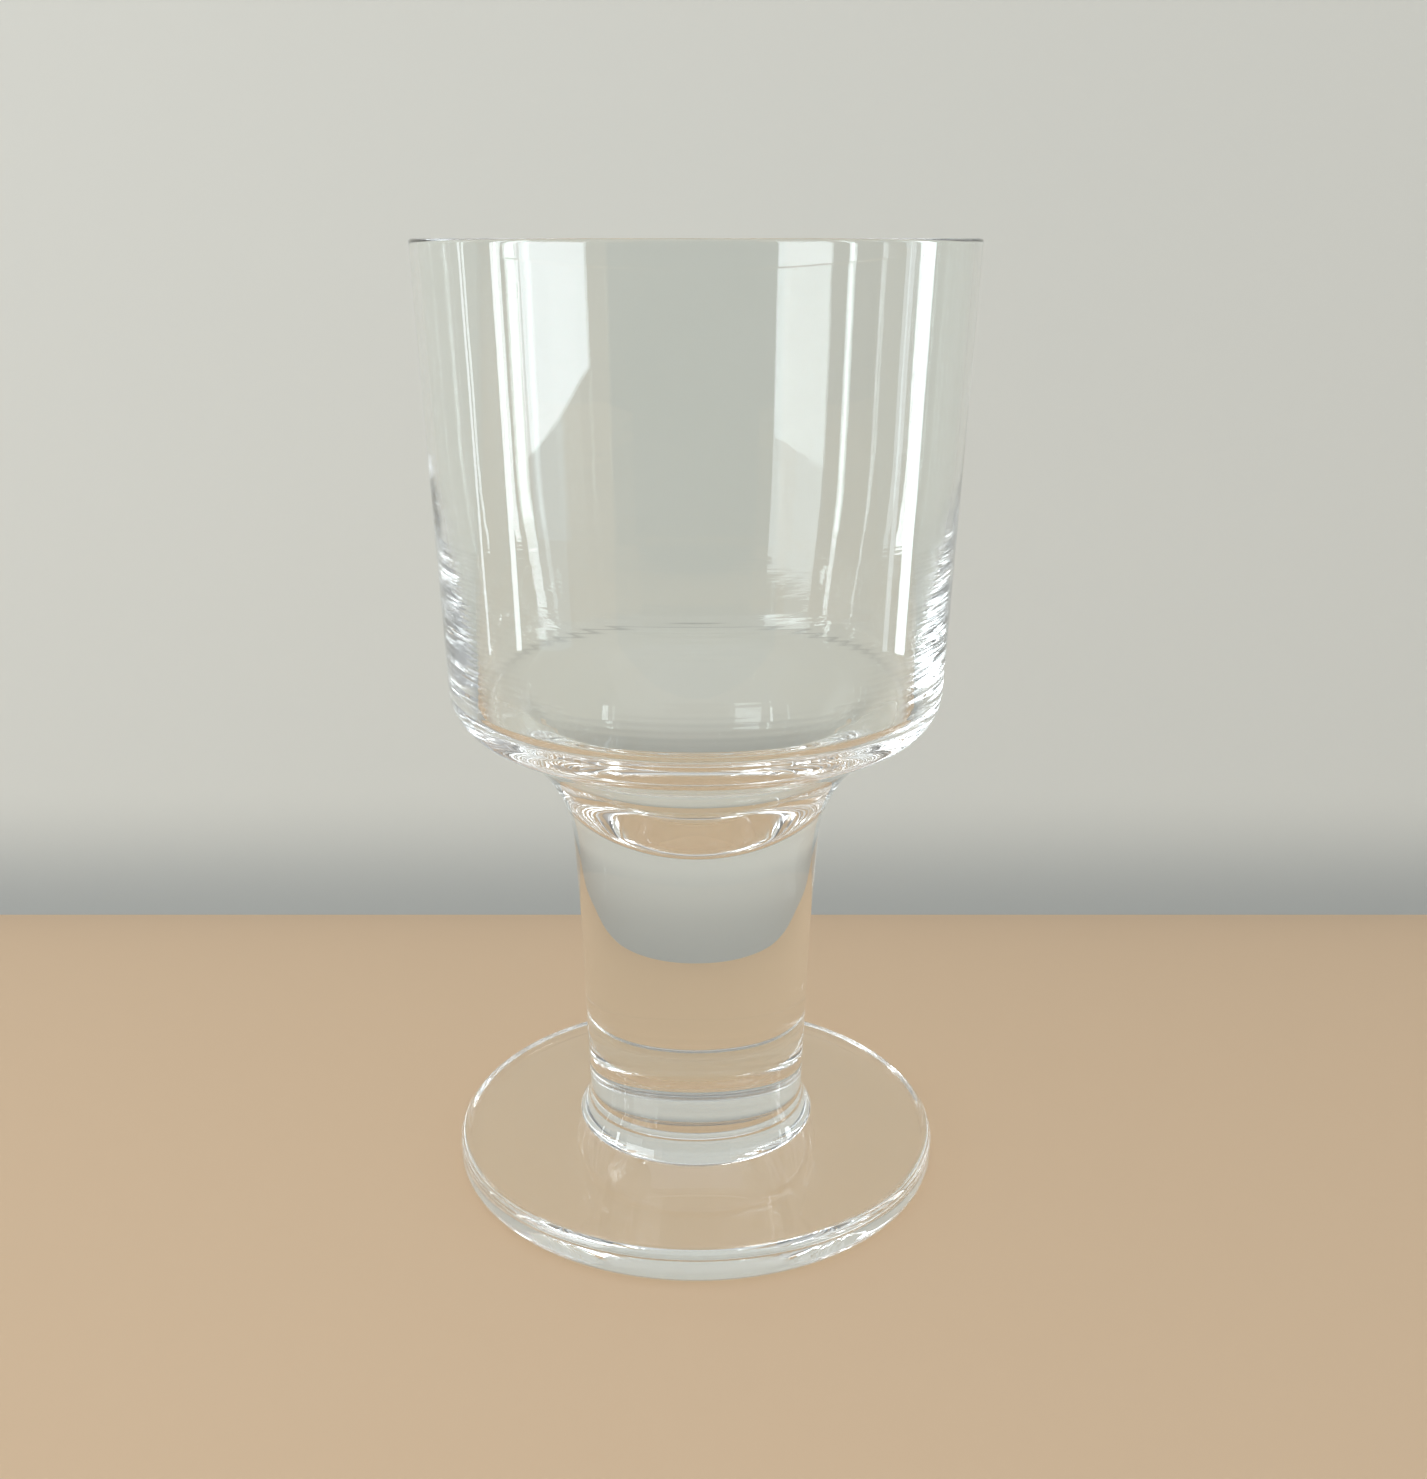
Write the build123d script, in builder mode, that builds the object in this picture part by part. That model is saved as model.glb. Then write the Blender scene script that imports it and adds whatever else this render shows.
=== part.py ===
"""A clear water goblet: a thick-based bowl, a stout solid stem and a round foot, fused to one another.

Millimetres. The origin is the middle of the underside at table height, and +Z points up.
Each piece is a turned solid: its outline is drawn on the XZ plane as (radius, height) and revolved about Z.
"""

import os
from math import cos, radians, sin, tan

from build123d import *

# Heights of the three pieces, stacked from the table up
foot_height = 9.5
stem_length = 50.5
bowl_height = 103.3

# Foot: a disc whose top climbs gently to a low collar, where the stem is fused on
foot_radius = 43.9
foot_edge_height = 6.2
foot_base_rounding = 2.5
foot_top_rounding = 2.0
bearing_ring_width = 6.0
underside_hollow = 0.8
foot_slope_radius = 30.5
foot_slope_rise = 0.7
collar_height = 1.0
collar_fillet = 0.8

# Stem: radii from its spread end on the foot to the face under the bowl
stem_base_radius = 20.9
stem_ankle_radius = 19.55
stem_knee_radius = 20.7
stem_top_radius = 21.5
ankle_height = 2.5
ankle_fillet = 10.0
neck_length = 13.5
knee_blend = 150.0

# Bowl, outside: heights are above its fused face on the stem
rim_radius = 45.0
bowl_base_radius = 41.9
flare_height = 17.4
bowl_base_height = 25.5
bowl_corner_radius = 8.8

# Bowl, inside: a thin wall that thickens low down, a narrow shoulder, and a well that dips into the stem's top
lip_thickness = 1.3
lip_rounding = 0.6
thin_wall_height = 58.0
wall_blend = 250.0
base_wall_thickness = 4.2
shoulder_height = 28.5
shoulder_corner_radius = 2.5
well_floor_thickness = 3.0
well_tip_radius = 18.0
well_slope = radians(49.1)

# Share of a straight side that two roundings may use up between them
rounding_share = 0.97

# Levels of the two fused faces and of the rim
stem_base = foot_height
bowl_base = stem_base + stem_length
rim_height = bowl_base + bowl_height


def inner_angle(before, corner, after):
    """The angle, in radians, between the two sides of an outline that meet at a corner."""
    return radians((Vector(*before) - Vector(*corner)).get_angle(Vector(*after) - Vector(*corner)))


def side_used(radius, angle):
    """How much of each side a rounding of this radius takes up at a corner of this angle."""
    return radius / tan(angle / 2)


def radius_for(length, angle):
    """The radius whose rounding takes up this much of each side at a corner of this angle."""
    return length * tan(angle / 2)


def side_length(start, end):
    """The straight distance between two points of an outline."""
    return (Vector(*end) - Vector(*start)).length


os.makedirs("parts", exist_ok=True)

# Foot. The collar carries on the slant of the stem's spread end, and its top face is the stem's seat.
ankle_slant = (stem_base_radius - stem_ankle_radius) / ankle_height
bearing_radius = foot_radius - foot_base_rounding - bearing_ring_width
foot_corner = (foot_radius, 0)
foot_edge = (foot_radius, foot_edge_height)
foot_slope = (foot_slope_radius, foot_edge_height + foot_slope_rise)
collar_base = (stem_base_radius + ankle_slant * collar_height, stem_base - collar_height)
foot_seat_edge = (stem_base_radius, stem_base)

# The bend in the foot's top is as gentle as the roundings beside it allow.
edge_angle = inner_angle(foot_corner, foot_edge, foot_slope)
slope_angle = inner_angle(foot_edge, foot_slope, collar_base)
collar_angle = inner_angle(foot_slope, collar_base, foot_seat_edge)
outer_run = side_length(foot_edge, foot_slope) - side_used(foot_top_rounding, edge_angle)
inner_run = side_length(foot_slope, collar_base) - side_used(collar_fillet, collar_angle)
slope_blend = radius_for(min(outer_run, inner_run) * rounding_share, slope_angle)

with BuildPart() as foot:
    with BuildSketch(Plane.XZ):
        with BuildLine():
            TangentArc((0, underside_hollow), (bearing_radius, 0), tangent=(1, 0))
            FilletPolyline(
                (bearing_radius, 0),
                foot_corner,
                foot_edge,
                foot_slope,
                collar_base,
                foot_seat_edge,
                radius=[foot_base_rounding, foot_top_rounding, slope_blend, collar_fillet],
            )
            Polyline(foot_seat_edge, (0, stem_base), (0, underside_hollow))
        make_face()
    revolve(axis=Axis.Z)
foot.part.label = "foot"
export_step(foot.part, "parts/foot.step")

# Stem. It spreads a little on the foot, tapers up the shank and leans out towards the bowl.
stem_ankle = (stem_ankle_radius, stem_base + ankle_height)
stem_knee = (stem_knee_radius, bowl_base - neck_length)
stem_top_edge = (stem_top_radius, bowl_base)

with BuildPart() as stem:
    with BuildSketch(Plane.XZ):
        with BuildLine():
            FilletPolyline(
                foot_seat_edge,
                stem_ankle,
                stem_knee,
                stem_top_edge,
                radius=[ankle_fillet, knee_blend],
            )
            Polyline(stem_top_edge, (0, bowl_base), (0, stem_base), foot_seat_edge)
        make_face()
    revolve(axis=Axis.Z)
stem.part.label = "stem"
export_step(stem.part, "parts/stem.step")

# Bowl, outside. The flare carries on the lean of the stem's neck, and its sweep runs straight into the corner.
neck_lean = (stem_top_radius - stem_knee_radius) / neck_length
flare_corner = (stem_top_radius + neck_lean * flare_height, bowl_base + flare_height)
bowl_corner = (bowl_base_radius, bowl_base + bowl_base_height)
rim_edge = (rim_radius, rim_height)

underside_length = side_length(flare_corner, bowl_corner)
flare_angle = inner_angle(stem_top_edge, flare_corner, bowl_corner)
corner_angle = inner_angle(flare_corner, bowl_corner, rim_edge)
corner_run = min(side_used(bowl_corner_radius, corner_angle), underside_length / 2)
flare_run = min(underside_length - corner_run, side_length(stem_top_edge, flare_corner)) * rounding_share
corner_radius = radius_for(corner_run, corner_angle)
flare_radius = radius_for(flare_run, flare_angle)

# Bowl, inside. The wall keeps the lip's thickness down to the level where it starts to thicken.
wall_lean = (rim_radius - bowl_base_radius) / (rim_height - bowl_corner[1])


def outer_wall_radius(height):
    """The outside radius of the bowl's straight wall at a height above the table."""
    return rim_radius - wall_lean * (rim_height - height)


shoulder_level = bowl_base + shoulder_height
thin_wall_level = bowl_base + thin_wall_height
lip_edge = (rim_radius - lip_thickness, rim_height)
thin_wall_end = (outer_wall_radius(thin_wall_level) - lip_thickness, thin_wall_level)
shoulder_corner = (outer_wall_radius(shoulder_level) - base_wall_thickness, shoulder_level)

# The well is a cone that ends in a ball-shaped floor, and its cone meets the shoulder at the crest.
well_floor = (0, bowl_base + well_floor_thickness)
well_cone_end = (
    well_tip_radius * sin(well_slope),
    well_floor[1] + well_tip_radius * (1 - cos(well_slope)),
)
well_crest = (
    well_cone_end[0] + (shoulder_level - well_cone_end[1]) / tan(well_slope),
    shoulder_level,
)
shoulder_length = side_length(shoulder_corner, well_crest)
shoulder_angle = inner_angle(thin_wall_end, shoulder_corner, well_crest)
crest_angle = inner_angle(shoulder_corner, well_crest, well_cone_end)
shoulder_run = min(side_used(shoulder_corner_radius, shoulder_angle), shoulder_length / 2)
crest_run = (shoulder_length - shoulder_run) * rounding_share

with BuildPart() as bowl:
    with BuildSketch(Plane.XZ):
        with BuildLine():
            FilletPolyline(
                stem_top_edge,
                flare_corner,
                bowl_corner,
                rim_edge,
                lip_edge,
                thin_wall_end,
                shoulder_corner,
                well_crest,
                well_cone_end,
                radius=[
                    flare_radius,
                    corner_radius,
                    lip_rounding,
                    lip_rounding,
                    wall_blend,
                    radius_for(shoulder_run, shoulder_angle),
                    radius_for(crest_run, crest_angle),
                ],
            )
            TangentArc(well_cone_end, well_floor, tangent=(-cos(well_slope), -sin(well_slope)))
            Polyline(well_floor, (0, bowl_base), stem_top_edge)
        make_face()
    revolve(axis=Axis.Z)
bowl.part.label = "bowl"
export_step(bowl.part, "parts/bowl.step")
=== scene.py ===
"""A clear water goblet on a plain studio stage, seen from the photo's viewpoint.

The outlines are in millimetres, as (radius, height) round the goblet's axis, and the meshes are in metres.
"""

import math

import bmesh
import bpy
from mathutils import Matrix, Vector


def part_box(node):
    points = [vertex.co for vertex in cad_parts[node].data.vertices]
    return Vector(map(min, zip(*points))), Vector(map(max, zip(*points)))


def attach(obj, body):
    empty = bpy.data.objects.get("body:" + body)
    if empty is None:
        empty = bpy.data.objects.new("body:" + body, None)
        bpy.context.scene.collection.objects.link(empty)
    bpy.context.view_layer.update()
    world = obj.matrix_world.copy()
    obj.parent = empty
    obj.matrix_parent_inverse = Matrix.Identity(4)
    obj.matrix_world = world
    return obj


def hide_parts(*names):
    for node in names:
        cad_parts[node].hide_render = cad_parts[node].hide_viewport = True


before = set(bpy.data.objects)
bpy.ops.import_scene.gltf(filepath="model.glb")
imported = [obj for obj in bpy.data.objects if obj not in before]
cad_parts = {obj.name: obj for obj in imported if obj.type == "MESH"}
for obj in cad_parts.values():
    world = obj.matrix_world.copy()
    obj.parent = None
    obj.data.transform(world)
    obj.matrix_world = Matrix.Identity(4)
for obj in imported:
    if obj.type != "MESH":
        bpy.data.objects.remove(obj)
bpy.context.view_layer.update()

MM = 0.001


# Outlines

def rounded(corners, arc_step=math.radians(4), arc_least=6):
    """The points of an outline given as (corner, rounding) pairs."""
    points = []
    for i, (corner, rounding) in enumerate(corners):
        if not rounding:
            points.append(corner)
            continue
        before = (corners[i - 1][0] - corner).normalized()
        after = (corners[i + 1][0] - corner).normalized()
        half = before.angle(after) / 2
        centre = corner + (before + after).normalized() * rounding / math.sin(half)
        start = corner + before * rounding / math.tan(half) - centre
        sweep = start.angle_signed(corner + after * rounding / math.tan(half) - centre)
        steps = max(arc_least, math.ceil(abs(sweep) / arc_step))
        for k in range(steps + 1):
            turn = -sweep * k / steps
            points.append(centre + Vector((
                start.x * math.cos(turn) - start.y * math.sin(turn),
                start.x * math.sin(turn) + start.y * math.cos(turn),
            )))
    return points


def divided(points, spacing):
    """The same outline with its long straight runs cut into steps no longer than spacing."""
    out = [points[0]]
    for start, end in zip(points, points[1:]):
        count = max(1, math.ceil((end - start).length / spacing))
        out.extend(start.lerp(end, k / count) for k in range(1, count + 1))
    return out


def inner_angle(before, corner, after):
    """The angle between the two sides of an outline that meet at a corner."""
    return (before - corner).angle(after - corner)


def side_used(radius, angle):
    """How much of each side a rounding of this radius takes up at a corner of this angle."""
    return radius / math.tan(angle / 2)


def radius_for(length, angle):
    """The radius whose rounding takes up this much of each side at a corner of this angle."""
    return length * math.tan(angle / 2)


def ball_floor(sphere_radius, edge_radius, pole_height, upward, steps=24):
    """Points of a ball-shaped floor, from its pole on the axis out to edge_radius."""
    sweep = math.asin(edge_radius / sphere_radius)
    sign = 1 if upward else -1
    return [
        Vector((
            sphere_radius * math.sin(sweep * k / steps),
            pole_height + sign * sphere_radius * (1 - math.cos(sweep * k / steps)),
        ))
        for k in range(steps + 1)
    ]


def joint_face(edge):
    """Points of a fused face from the axis to its edge."""
    return [Vector((edge.x * share, edge.y)) for share in (0, 0.5, 1)]


# Longest step along an outline, and the share of a straight side that two roundings may use up between them
outline_step = 1.5
rounding_share = 0.97

# Levels of the fused faces and of the rim, from the CAD pieces
foot_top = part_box("foot")[1].z / MM
stem_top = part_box("stem")[1].z / MM
rim_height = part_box("bowl")[1].z / MM

# Stem: it spreads a little on the foot and leans out towards the bowl
stem_base_radius = 20.9
ankle_radius = 19.55
knee_radius = 20.7
stem_top_radius = 21.5
ankle_height = 2.5
ankle_fillet = 10.0
neck_length = 13.5
knee_blend = 150.0

stem_base_edge = Vector((stem_base_radius, foot_top))
stem_top_edge = Vector((stem_top_radius, stem_top))
stem_outline = joint_face(stem_base_edge) + divided(rounded([
    (stem_base_edge, 0),
    (Vector((ankle_radius, foot_top + ankle_height)), ankle_fillet),
    (Vector((knee_radius, stem_top - neck_length)), knee_blend),
    (stem_top_edge, 0),
]), outline_step)[1:] + joint_face(stem_top_edge)[-2::-1]

# Foot: a disc whose top climbs gently to the collar under the stem
foot_radius = 43.9
foot_edge_height = 6.2
foot_base_rounding = 2.5
foot_top_rounding = 2.0
bearing_ring_width = 6.0
underside_hollow = 0.8
foot_slope_radius = 30.5
foot_slope_rise = 0.7
collar_height = 1.0
collar_fillet = 0.8

ankle_slant = (stem_base_radius - ankle_radius) / ankle_height
bearing_edge = Vector((foot_radius - foot_base_rounding - bearing_ring_width, 0))
foot_corner = Vector((foot_radius, 0))
foot_edge = Vector((foot_radius, foot_edge_height))
foot_slope = Vector((foot_slope_radius, foot_edge_height + foot_slope_rise))
collar_base = Vector((stem_base_radius + ankle_slant * collar_height, foot_top - collar_height))

edge_run = side_used(foot_top_rounding, inner_angle(foot_corner, foot_edge, foot_slope))
collar_run = side_used(collar_fillet, inner_angle(foot_slope, collar_base, stem_base_edge))
slope_run = min((foot_edge - foot_slope).length - edge_run, (foot_slope - collar_base).length - collar_run)
slope_blend = radius_for(slope_run * rounding_share, inner_angle(foot_edge, foot_slope, collar_base))

hollow_sphere = (bearing_edge.x ** 2 + underside_hollow ** 2) / (2 * underside_hollow)
foot_outline = ball_floor(hollow_sphere, bearing_edge.x, underside_hollow, upward=False) + divided(rounded([
    (bearing_edge, 0),
    (foot_corner, foot_base_rounding),
    (foot_edge, foot_top_rounding),
    (foot_slope, slope_blend),
    (collar_base, collar_fillet),
    (stem_base_edge, 0),
]), outline_step)[1:] + joint_face(stem_base_edge)[-2::-1]

# Bowl, outside: the flare carries on the lean of the stem's neck, and its sweep runs straight into the corner
rim_radius = 45.0
bowl_base_radius = 41.9
flare_height = 17.4
bowl_base_height = 25.5
bowl_corner_radius = 8.8
lip_thickness = 1.3
lip_rounding = 0.6

neck_lean = (stem_top_radius - knee_radius) / neck_length
flare_corner = Vector((stem_top_radius + neck_lean * flare_height, stem_top + flare_height))
bowl_corner = Vector((bowl_base_radius, stem_top + bowl_base_height))
rim_edge = Vector((rim_radius, rim_height))
lip_top = Vector((rim_radius - lip_thickness / 2, rim_height))
lip_edge = Vector((rim_radius - lip_thickness, rim_height))

corner_run = side_used(bowl_corner_radius, inner_angle(flare_corner, bowl_corner, rim_edge))
flare_run = min((bowl_corner - flare_corner).length - corner_run, (flare_corner - stem_top_edge).length)
flare_radius = radius_for(flare_run * rounding_share, inner_angle(stem_top_edge, flare_corner, bowl_corner))
bowl_outside = divided(rounded([
    (stem_top_edge, 0),
    (flare_corner, flare_radius),
    (bowl_corner, bowl_corner_radius),
    (rim_edge, lip_rounding),
    (lip_top, 0),
]), outline_step)

# Bowl, inside: a thin wall that thickens low down, a narrow shoulder, and a well that dips into the stem
thin_wall_height = 58.0
wall_blend = 250.0
base_wall_thickness = 4.2
shoulder_height = 28.5
shoulder_corner_radius = 2.5
well_floor_thickness = 3.0
well_tip_radius = 18.0
well_slope = math.radians(49.1)

wall_lean = (rim_radius - bowl_base_radius) / (rim_height - bowl_corner.y)


def outer_wall(height):
    """The outside radius of the bowl's straight wall."""
    return rim_radius - wall_lean * (rim_height - height)


thin_wall_level = stem_top + thin_wall_height
shoulder_level = stem_top + shoulder_height
well_floor_level = stem_top + well_floor_thickness
thin_wall_end = Vector((outer_wall(thin_wall_level) - lip_thickness, thin_wall_level))
shoulder_corner = Vector((outer_wall(shoulder_level) - base_wall_thickness, shoulder_level))
well_cone_end = Vector((
    well_tip_radius * math.sin(well_slope),
    well_floor_level + well_tip_radius * (1 - math.cos(well_slope)),
))
well_crest = Vector((
    well_cone_end.x + (shoulder_level - well_cone_end.y) / math.tan(well_slope),
    shoulder_level,
))
shoulder_run = side_used(shoulder_corner_radius, inner_angle(thin_wall_end, shoulder_corner, well_crest))
crest_run = ((shoulder_corner - well_crest).length - shoulder_run) * rounding_share
crest_rounding = radius_for(crest_run, inner_angle(shoulder_corner, well_crest, well_cone_end))

# Fine rings low on the inside wall, closer together higher up. A slower wave makes them uneven.
ring_start = 0.2
ring_end = 33.5
ring_pitch_low = 1.3
ring_pitch_high = 0.6
ring_slope = 0.014
ring_fade = 6.0
ring_step = 0.13
uneven_share = 0.4
uneven_rate = 0.37

ring_low = shoulder_level + ring_start
ring_high = shoulder_level + ring_end


def ring_height(level):
    """How far the fine rings stand out of the wall at a level."""
    level_per_pitch = (ring_high - ring_low) / (ring_pitch_high - ring_pitch_low)
    pitch = ring_pitch_low + (level - ring_low) / level_per_pitch
    turn = 2 * math.pi * level_per_pitch * math.log(pitch / ring_pitch_low)
    wave = math.sin(turn) + uneven_share * math.sin(turn * uneven_rate)
    fade = min(1.0, (level - ring_low) / ring_fade, (ring_high - level) / ring_fade)
    return ring_slope * pitch / (2 * math.pi) * wave * fade


def ringed(points):
    """The same outline of a wall, with the fine rings on it."""
    out = [points[0]]
    for start, end in zip(points, points[1:]):
        if not ring_low < (start.y + end.y) / 2 < ring_high:
            out.append(end)
            continue
        side = (end - start).orthogonal().normalized()
        for point in divided([start, end], ring_step)[1:]:
            on_rings = ring_low < point.y < ring_high
            out.append(point + side * ring_height(point.y) if on_rings else point)
    return out


bowl_inside = ringed(divided(rounded([
    (lip_top, 0),
    (lip_edge, lip_rounding),
    (thin_wall_end, wall_blend),
    (shoulder_corner, shoulder_corner_radius),
    (well_crest, crest_rounding),
    (well_cone_end, 0),
]), outline_step))
bowl_outline = (
    joint_face(stem_top_edge)[:-1]
    + bowl_outside
    + bowl_inside[1:-1]
    + ball_floor(well_tip_radius, well_cone_end.x, well_floor_level, upward=True)[::-1]
)


# What the materials and the pieces share

def new_material(name):
    """A new material, with the nodes and links of its tree."""
    material = bpy.data.materials.new(name)
    material.use_nodes = True
    return material, material.node_tree.nodes, material.node_tree.links


def clear_where(mask, shader, nodes, links):
    """Show a material's shader where its mask is 0, and nothing where the mask is 1."""
    clear = nodes.new("ShaderNodeBsdfTransparent")
    mix = nodes.new("ShaderNodeMixShader")
    links.new(mask, mix.inputs["Fac"])
    links.new(shader, mix.inputs[1])
    links.new(clear.outputs["BSDF"], mix.inputs[2])
    links.new(mix.outputs["Shader"], nodes["Material Output"].inputs["Surface"])


def placed(name, data):
    """A new object in the scene."""
    piece = bpy.data.objects.new(name, data)
    bpy.context.scene.collection.objects.link(piece)
    return piece


# Glass

GLASS_IOR = 1.52
CAST_DEEP = (0.945, 0.965, 0.95, 1)
CAST_FAINT = (0.97, 0.985, 0.975, 1)
WAVE_DETAIL = 1.0
HAZE_SCALE = 160.0
HAZE_DETAIL = 3.0
HAZE_FROM, HAZE_TO = 0.5, 0.75


def glass_surface_group():
    """How hand-finished glass varies over its surface.

    It has a slow waviness, a faint haze in patches and a green cast that comes and goes.
    """
    group = bpy.data.node_groups.new("glass_surface", "ShaderNodeTree")
    for name, in_out, kind in (
        ("Vector", "INPUT", "NodeSocketVector"),
        ("Wave Scale", "INPUT", "NodeSocketFloat"),
        ("Haze", "INPUT", "NodeSocketFloat"),
        ("Cast", "OUTPUT", "NodeSocketColor"),
        ("Roughness", "OUTPUT", "NodeSocketFloat"),
        ("Height", "OUTPUT", "NodeSocketFloat"),
    ):
        group.interface.new_socket(name, in_out=in_out, socket_type=kind)
    nodes, links = group.nodes, group.links
    given = nodes.new("NodeGroupInput")
    result = nodes.new("NodeGroupOutput")

    wave = nodes.new("ShaderNodeTexNoise")
    wave.inputs["Detail"].default_value = WAVE_DETAIL
    links.new(given.outputs["Vector"], wave.inputs["Vector"])
    links.new(given.outputs["Wave Scale"], wave.inputs["Scale"])
    links.new(wave.outputs["Fac"], result.inputs["Height"])

    cast = nodes.new("ShaderNodeMix")
    cast.data_type = "RGBA"
    cast.inputs["A"].default_value = CAST_DEEP
    cast.inputs["B"].default_value = CAST_FAINT
    links.new(wave.outputs["Fac"], cast.inputs["Factor"])
    links.new(cast.outputs["Result"], result.inputs["Cast"])

    haze = nodes.new("ShaderNodeTexNoise")
    haze.inputs["Scale"].default_value = HAZE_SCALE
    haze.inputs["Detail"].default_value = HAZE_DETAIL
    patches = nodes.new("ShaderNodeMapRange")
    patches.inputs["From Min"].default_value = HAZE_FROM
    patches.inputs["From Max"].default_value = HAZE_TO
    links.new(given.outputs["Vector"], haze.inputs["Vector"])
    links.new(haze.outputs["Fac"], patches.inputs["Value"])
    links.new(given.outputs["Haze"], patches.inputs["To Max"])
    links.new(patches.outputs["Result"], result.inputs["Roughness"])
    return group


glass_surface = glass_surface_group()


def glass_material(name, wave_scale, wave_height, haze):
    """Clear glass with its own waviness and haze. Light passes through it to what stands behind."""
    material, nodes, links = new_material(name)
    shader = nodes["Principled BSDF"]
    shader.inputs["Transmission Weight"].default_value = 1.0
    shader.inputs["IOR"].default_value = GLASS_IOR
    place = nodes.new("ShaderNodeTexCoord")
    surface = nodes.new("ShaderNodeGroup")
    surface.node_tree = glass_surface
    surface.inputs["Wave Scale"].default_value = wave_scale
    surface.inputs["Haze"].default_value = haze
    bump = nodes.new("ShaderNodeBump")
    bump.inputs["Strength"].default_value = 1.0
    bump.inputs["Distance"].default_value = wave_height
    links.new(place.outputs["Object"], surface.inputs["Vector"])
    links.new(surface.outputs["Cast"], shader.inputs["Base Color"])
    links.new(surface.outputs["Roughness"], shader.inputs["Roughness"])
    links.new(surface.outputs["Height"], bump.inputs["Height"])
    links.new(bump.outputs["Normal"], shader.inputs["Normal"])
    path = nodes.new("ShaderNodeLightPath")
    clear_where(path.outputs["Is Shadow Ray"], shader.outputs["BSDF"], nodes, links)
    return material


def joint_material():
    """The fused faces can't be seen, because the glass runs on through them."""
    material, nodes, links = new_material("fused_joint")
    nodes.remove(nodes["Principled BSDF"])
    clear = nodes.new("ShaderNodeBsdfTransparent")
    links.new(clear.outputs["BSDF"], nodes["Material Output"].inputs["Surface"])
    return material


fused_joint = joint_material()
glass = {
    "foot": glass_material("foot_glass", wave_scale=60.0, wave_height=0.04 * MM, haze=0.02),
    "stem": glass_material("stem_glass", wave_scale=70.0, wave_height=0.02 * MM, haze=0.01),
    "bowl": glass_material("bowl_glass", wave_scale=45.0, wave_height=0.05 * MM, haze=0.015),
}


# The three pieces

TURN_STEPS = 180
SAME_PLACE = 1e-7


def turned(name, outline, joint_levels, material):
    """A closed piece turned from its outline. Its flat faces at the joint levels are the fused ones."""
    mesh = bmesh.new()
    verts = [mesh.verts.new((p.x * MM, 0, p.y * MM)) for p in outline]
    edges = [mesh.edges.new(pair) for pair in zip(verts, verts[1:])]
    bmesh.ops.spin(
        mesh, geom=verts + edges, cent=(0, 0, 0), axis=(0, 0, 1),
        angle=2 * math.pi, steps=TURN_STEPS, use_merge=True,
    )
    bmesh.ops.remove_doubles(mesh, verts=mesh.verts[:], dist=SAME_PLACE)
    bmesh.ops.recalc_face_normals(mesh, faces=mesh.faces[:])
    for face in mesh.faces:
        face.smooth = True
        on_joint = any(
            all(abs(v.co.z - level * MM) < SAME_PLACE for v in face.verts) for level in joint_levels
        )
        face.material_index = 1 if on_joint else 0
    for edge in mesh.edges:
        edge.smooth = len({face.material_index for face in edge.link_faces}) == 1
    data = bpy.data.meshes.new(name)
    mesh.to_mesh(data)
    mesh.free()
    data.materials.append(material)
    data.materials.append(fused_joint)
    return placed(name, data)


for node, outline, joint_levels in (
    ("foot", foot_outline, [foot_top]),
    ("stem", stem_outline, [foot_top, stem_top]),
    ("bowl", bowl_outline, [stem_top]),
):
    piece = turned(f"{node}_glass", outline, joint_levels, glass[node])
    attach(piece, "root")
    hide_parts(node)


# Stage

FLOOR_DROP = 0.0002
STAGE_REACH = 4.0
BACKDROP_AT = 0.105
BACKDROP_HEIGHT = 1.2
# Painted shade: the backdrop is painted darker over its lowest few centimetres, standing in for the soft
# shadow near the floor
BACKDROP_PAINTED_SHADE_HEIGHT = 0.035
FLOOR_COLOUR = (0.58, 0.43, 0.29)
BACKDROP_PAINTED_SHADE_COLOUR = (0.44, 0.485, 0.495)
BACKDROP_COLOUR = (0.71, 0.755, 0.74)
PAINT_ROUGHNESS = 0.6
PAINT_SHINE = 0.2


def stage_paint(name, painted_shade_colour, high_colour):
    """A matt paint that rises from a painted shade colour at the floor to its full colour, and that can't be
    seen from behind.
    """
    material, nodes, links = new_material(name)
    shader = nodes["Principled BSDF"]
    shader.inputs["Roughness"].default_value = PAINT_ROUGHNESS
    shader.inputs["Specular IOR Level"].default_value = PAINT_SHINE
    place = nodes.new("ShaderNodeTexCoord")
    parts = nodes.new("ShaderNodeSeparateXYZ")
    rise = nodes.new("ShaderNodeMapRange")
    rise.interpolation_type = "SMOOTHSTEP"
    rise.inputs["From Max"].default_value = BACKDROP_PAINTED_SHADE_HEIGHT
    # Painted shade low down, blending up into the full colour
    painted_shade = nodes.new("ShaderNodeMix")
    painted_shade.data_type = "RGBA"
    painted_shade.inputs["A"].default_value = (*painted_shade_colour, 1)
    painted_shade.inputs["B"].default_value = (*high_colour, 1)
    links.new(place.outputs["Object"], parts.inputs["Vector"])
    links.new(parts.outputs["Z"], rise.inputs["Value"])
    links.new(rise.outputs["Result"], painted_shade.inputs["Factor"])
    links.new(painted_shade.outputs["Result"], shader.inputs["Base Color"])
    side = nodes.new("ShaderNodeNewGeometry")
    clear_where(side.outputs["Backfacing"], shader.outputs["BSDF"], nodes, links)
    return material


def sheet(name, corners, material):
    """A flat stage piece from its four corners, its front to the side where they run anticlockwise."""
    data = bpy.data.meshes.new(name)
    data.from_pydata(corners, [], [(0, 1, 2, 3)])
    data.materials.append(material)
    piece = placed(name, data)
    return piece


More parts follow.
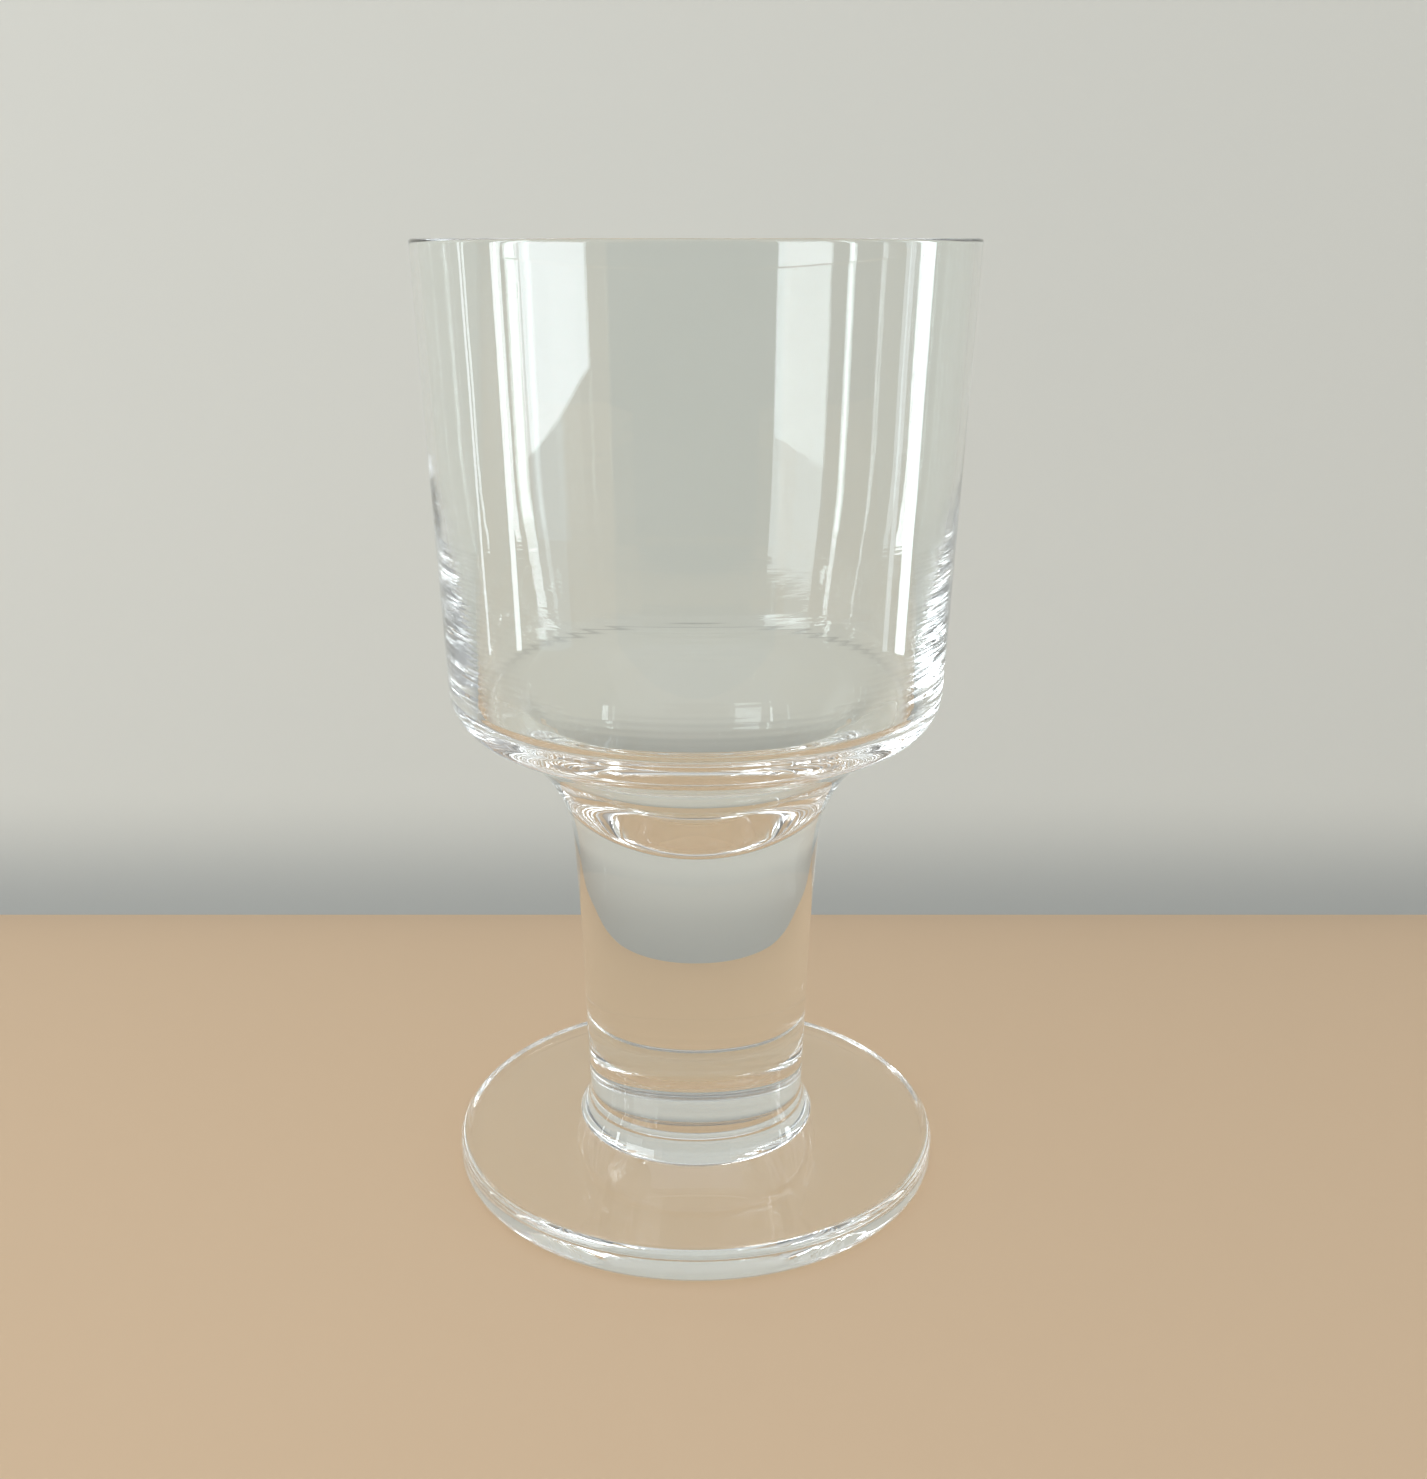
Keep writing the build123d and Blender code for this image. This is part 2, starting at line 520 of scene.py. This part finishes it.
sheet(
    "floor",
    [
        (-STAGE_REACH, -STAGE_REACH, -FLOOR_DROP),
        (STAGE_REACH, -STAGE_REACH, -FLOOR_DROP),
        (STAGE_REACH, STAGE_REACH, -FLOOR_DROP),
        (-STAGE_REACH, STAGE_REACH, -FLOOR_DROP),
    ],
    stage_paint("floor_paint", FLOOR_COLOUR, FLOOR_COLOUR),
)
sheet(
    "backdrop",
    [
        (-STAGE_REACH, BACKDROP_AT, -FLOOR_DROP),
        (STAGE_REACH, BACKDROP_AT, -FLOOR_DROP),
        (STAGE_REACH, BACKDROP_AT, BACKDROP_HEIGHT),
        (-STAGE_REACH, BACKDROP_AT, BACKDROP_HEIGHT),
    ],
    # The backdrop's darker band near the floor is painted shade
    stage_paint("backdrop_paint", BACKDROP_PAINTED_SHADE_COLOUR, BACKDROP_COLOUR),
)


# Light panels that only the glass shows

PANEL_COLOUR = (0.88, 0.95, 1.0, 1)
PANEL_DISTANCE = 0.36
PANEL_TOP = 0.34


def panel_material(name, strength):
    """Light that the glass shows, and that light on its way to the floor and the backdrop passes through."""
    material, nodes, links = new_material(name)
    material.cycles.emission_sampling = "NONE"
    nodes.remove(nodes["Principled BSDF"])
    glow = nodes.new("ShaderNodeEmission")
    glow.inputs["Color"].default_value = PANEL_COLOUR
    glow.inputs["Strength"].default_value = strength
    path = nodes.new("ShaderNodeLightPath")
    clear_where(path.outputs["Diffuse Depth"], glow.outputs["Emission"], nodes, links)
    return material


def upright_panel(name, start, end, strength, bottoms=(0.0, 0.0)):
    """A standing panel between two azimuths, in degrees to the right of the camera's side of the goblet.

    The glass shows it in its reflections and through its thick parts. Its lower edge may stand off the floor,
    by a height at its start and another at its end.
    """
    low, high = [], []
    for azimuth, bottom in ((end, bottoms[1]), (start, bottoms[0])):
        turn = math.radians(azimuth)
        foot = Vector((math.sin(turn), -math.cos(turn), 0)) * PANEL_DISTANCE
        low.append(foot + Vector((0, 0, bottom)))
        high.append(foot + Vector((0, 0, PANEL_TOP)))
    piece = sheet(name, low + high[::-1], panel_material(name, strength))
    piece.visible_camera = False
    piece.visible_diffuse = False
    piece.visible_shadow = False


upright_panel("left_side", -99, -97.5, strength=5.0)
upright_panel("left_strip", -80.5, -77.5, strength=9.0)
upright_panel("left_panel", -68, -40, strength=5.0, bottoms=(0.07, 0.10))
upright_panel("left_low_panel", -68, -52, strength=1.2)
upright_panel("right_strip", 93, 100, strength=8.0)
upright_panel("right_edge_strip", 85, 88, strength=3.0)
upright_panel("front_fill", -32, 32, strength=0.2)


# Key light and surroundings

KEY_SIZE = 1.2
KEY_ENERGY = 19.0
KEY_PLACE = Vector((-0.9, -1.0, 1.3))
LOW_COLOUR = (0.18, 0.185, 0.19, 1)
HIGH_COLOUR = (0.76, 0.79, 0.82, 1)
HIGH_COLOUR_FROM = 0.6
GLASS_BOUNCES = 96


def key_light():
    """One large soft light over the camera's left shoulder, which lights the stage and isn't seen itself."""
    data = bpy.data.lights.new("key", "AREA")
    data.size = KEY_SIZE
    data.energy = KEY_ENERGY
    key = placed("key", data)
    key.location = KEY_PLACE
    key.rotation_euler = (-KEY_PLACE).to_track_quat("-Z", "Y").to_euler()
    key.visible_camera = False
    key.visible_glossy = False
    key.visible_transmission = False


def studio_world():
    """Soft light from all round, darker near the horizon and brighter overhead."""
    world = bpy.data.worlds.new("studio")
    world.use_nodes = True
    world.cycles.sampling_method = "NONE"
    nodes, links = world.node_tree.nodes, world.node_tree.links
    direction = nodes.new("ShaderNodeTexCoord")
    parts = nodes.new("ShaderNodeSeparateXYZ")
    ramp = nodes.new("ShaderNodeValToRGB")
    ramp.color_ramp.elements[0].color = LOW_COLOUR
    ramp.color_ramp.elements[1].color = HIGH_COLOUR
    ramp.color_ramp.elements[1].position = HIGH_COLOUR_FROM
    links.new(direction.outputs["Generated"], parts.inputs["Vector"])
    links.new(parts.outputs["Z"], ramp.inputs["Fac"])
    links.new(ramp.outputs["Color"], nodes["Background"].inputs["Color"])
    return world


key_light()
scene = bpy.context.scene
scene.world = studio_world()
scene.view_settings.view_transform = "Standard"

# Thick glass needs long light paths, and its refractions stay sharp.
scene.cycles.max_bounces = GLASS_BOUNCES
scene.cycles.transmission_bounces = GLASS_BOUNCES
scene.cycles.glossy_bounces = GLASS_BOUNCES
scene.cycles.transparent_max_bounces = GLASS_BOUNCES
scene.cycles.blur_glossy = 0.0


# Camera, at the photo's viewpoint: level with the rim and tilted down, so that the rim is seen edge on

PHOTO_WIDTH, PHOTO_HEIGHT = 1427, 1479
FOCAL_PIXELS = 1570.0
RIM_ROW = 238.3
AXIS_COLUMN = 696.0
CAMERA_DISTANCE = 0.261
SENSOR_WIDTH = 36.0

camera_data = bpy.data.cameras.new("camera")
camera_data.sensor_width = SENSOR_WIDTH
camera_data.lens = FOCAL_PIXELS * SENSOR_WIDTH / PHOTO_HEIGHT
camera_data.shift_x = (PHOTO_WIDTH / 2 - AXIS_COLUMN) / PHOTO_HEIGHT
camera = placed("camera", camera_data)
camera_tilt = math.atan((PHOTO_HEIGHT / 2 - RIM_ROW) / FOCAL_PIXELS)
camera.location = (0, -CAMERA_DISTANCE, rim_height * MM)
camera.rotation_euler = (math.pi / 2 - camera_tilt, 0, 0)
scene.camera = camera
